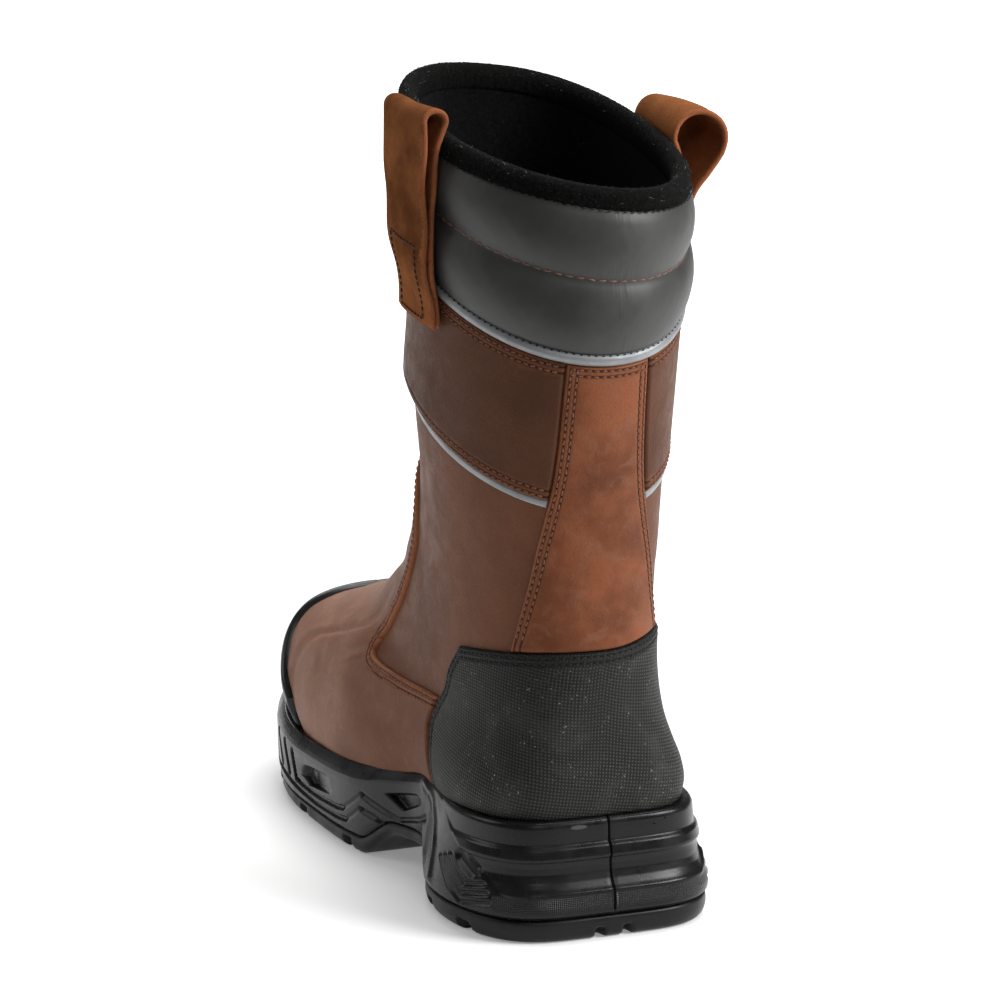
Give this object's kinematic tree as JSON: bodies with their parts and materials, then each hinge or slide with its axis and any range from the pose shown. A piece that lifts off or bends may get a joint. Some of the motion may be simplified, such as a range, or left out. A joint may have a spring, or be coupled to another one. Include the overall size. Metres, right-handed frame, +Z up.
{
  "type": "rigger boot",
  "caption": "Tall pull-on leather work boot for the left foot, with padded collar, pull loops, toe guard, woven heel counter and a thick lugged sole.",
  "frame": {"origin": "on the floor under the middle of the boot's outer box", "axes": "+Z up from the floor, toe along -Y, heel along +Y, the wearer's left along +X"},
  "size_m": [0.1435, 0.3066, 0.3392],
  "materials": {
    "oiled_leather": "oiled pull-up leather, satin, worn at the edges",
    "strap_leather": "lighter oiled leather with raw edges",
    "sole_foam": "moulded black foam sole, satin",
    "tread_rubber": "dense black tread",
    "guard_gloss": "glossy black bumper",
    "coated_weave": "black coated weave",
    "collar_skin": "smooth matt black coated padding",
    "felt": "fuzzy black felt",
    "reflective": "grey reflective piping",
    "footbed": "black felt footbed"
  },
  "bodies": {
    "root": {"upper": "oiled_leather", "midsole": "sole_foam", "outsole": "tread_rubber", "insole": "footbed", "toe_guard": "guard_gloss", "vamp": "oiled_leather", "heel_counter": "coated_weave", "backstrap": "strap_leather", "cuff_band": "oiled_leather", "cuff_piping": "reflective", "collar_piping": "reflective", "collar_pad": "collar_skin", "collar_binding": "felt", "pull_loop_left": "strap_leather", "pull_loop_right": "strap_leather"}
  },
  "joints": []
}
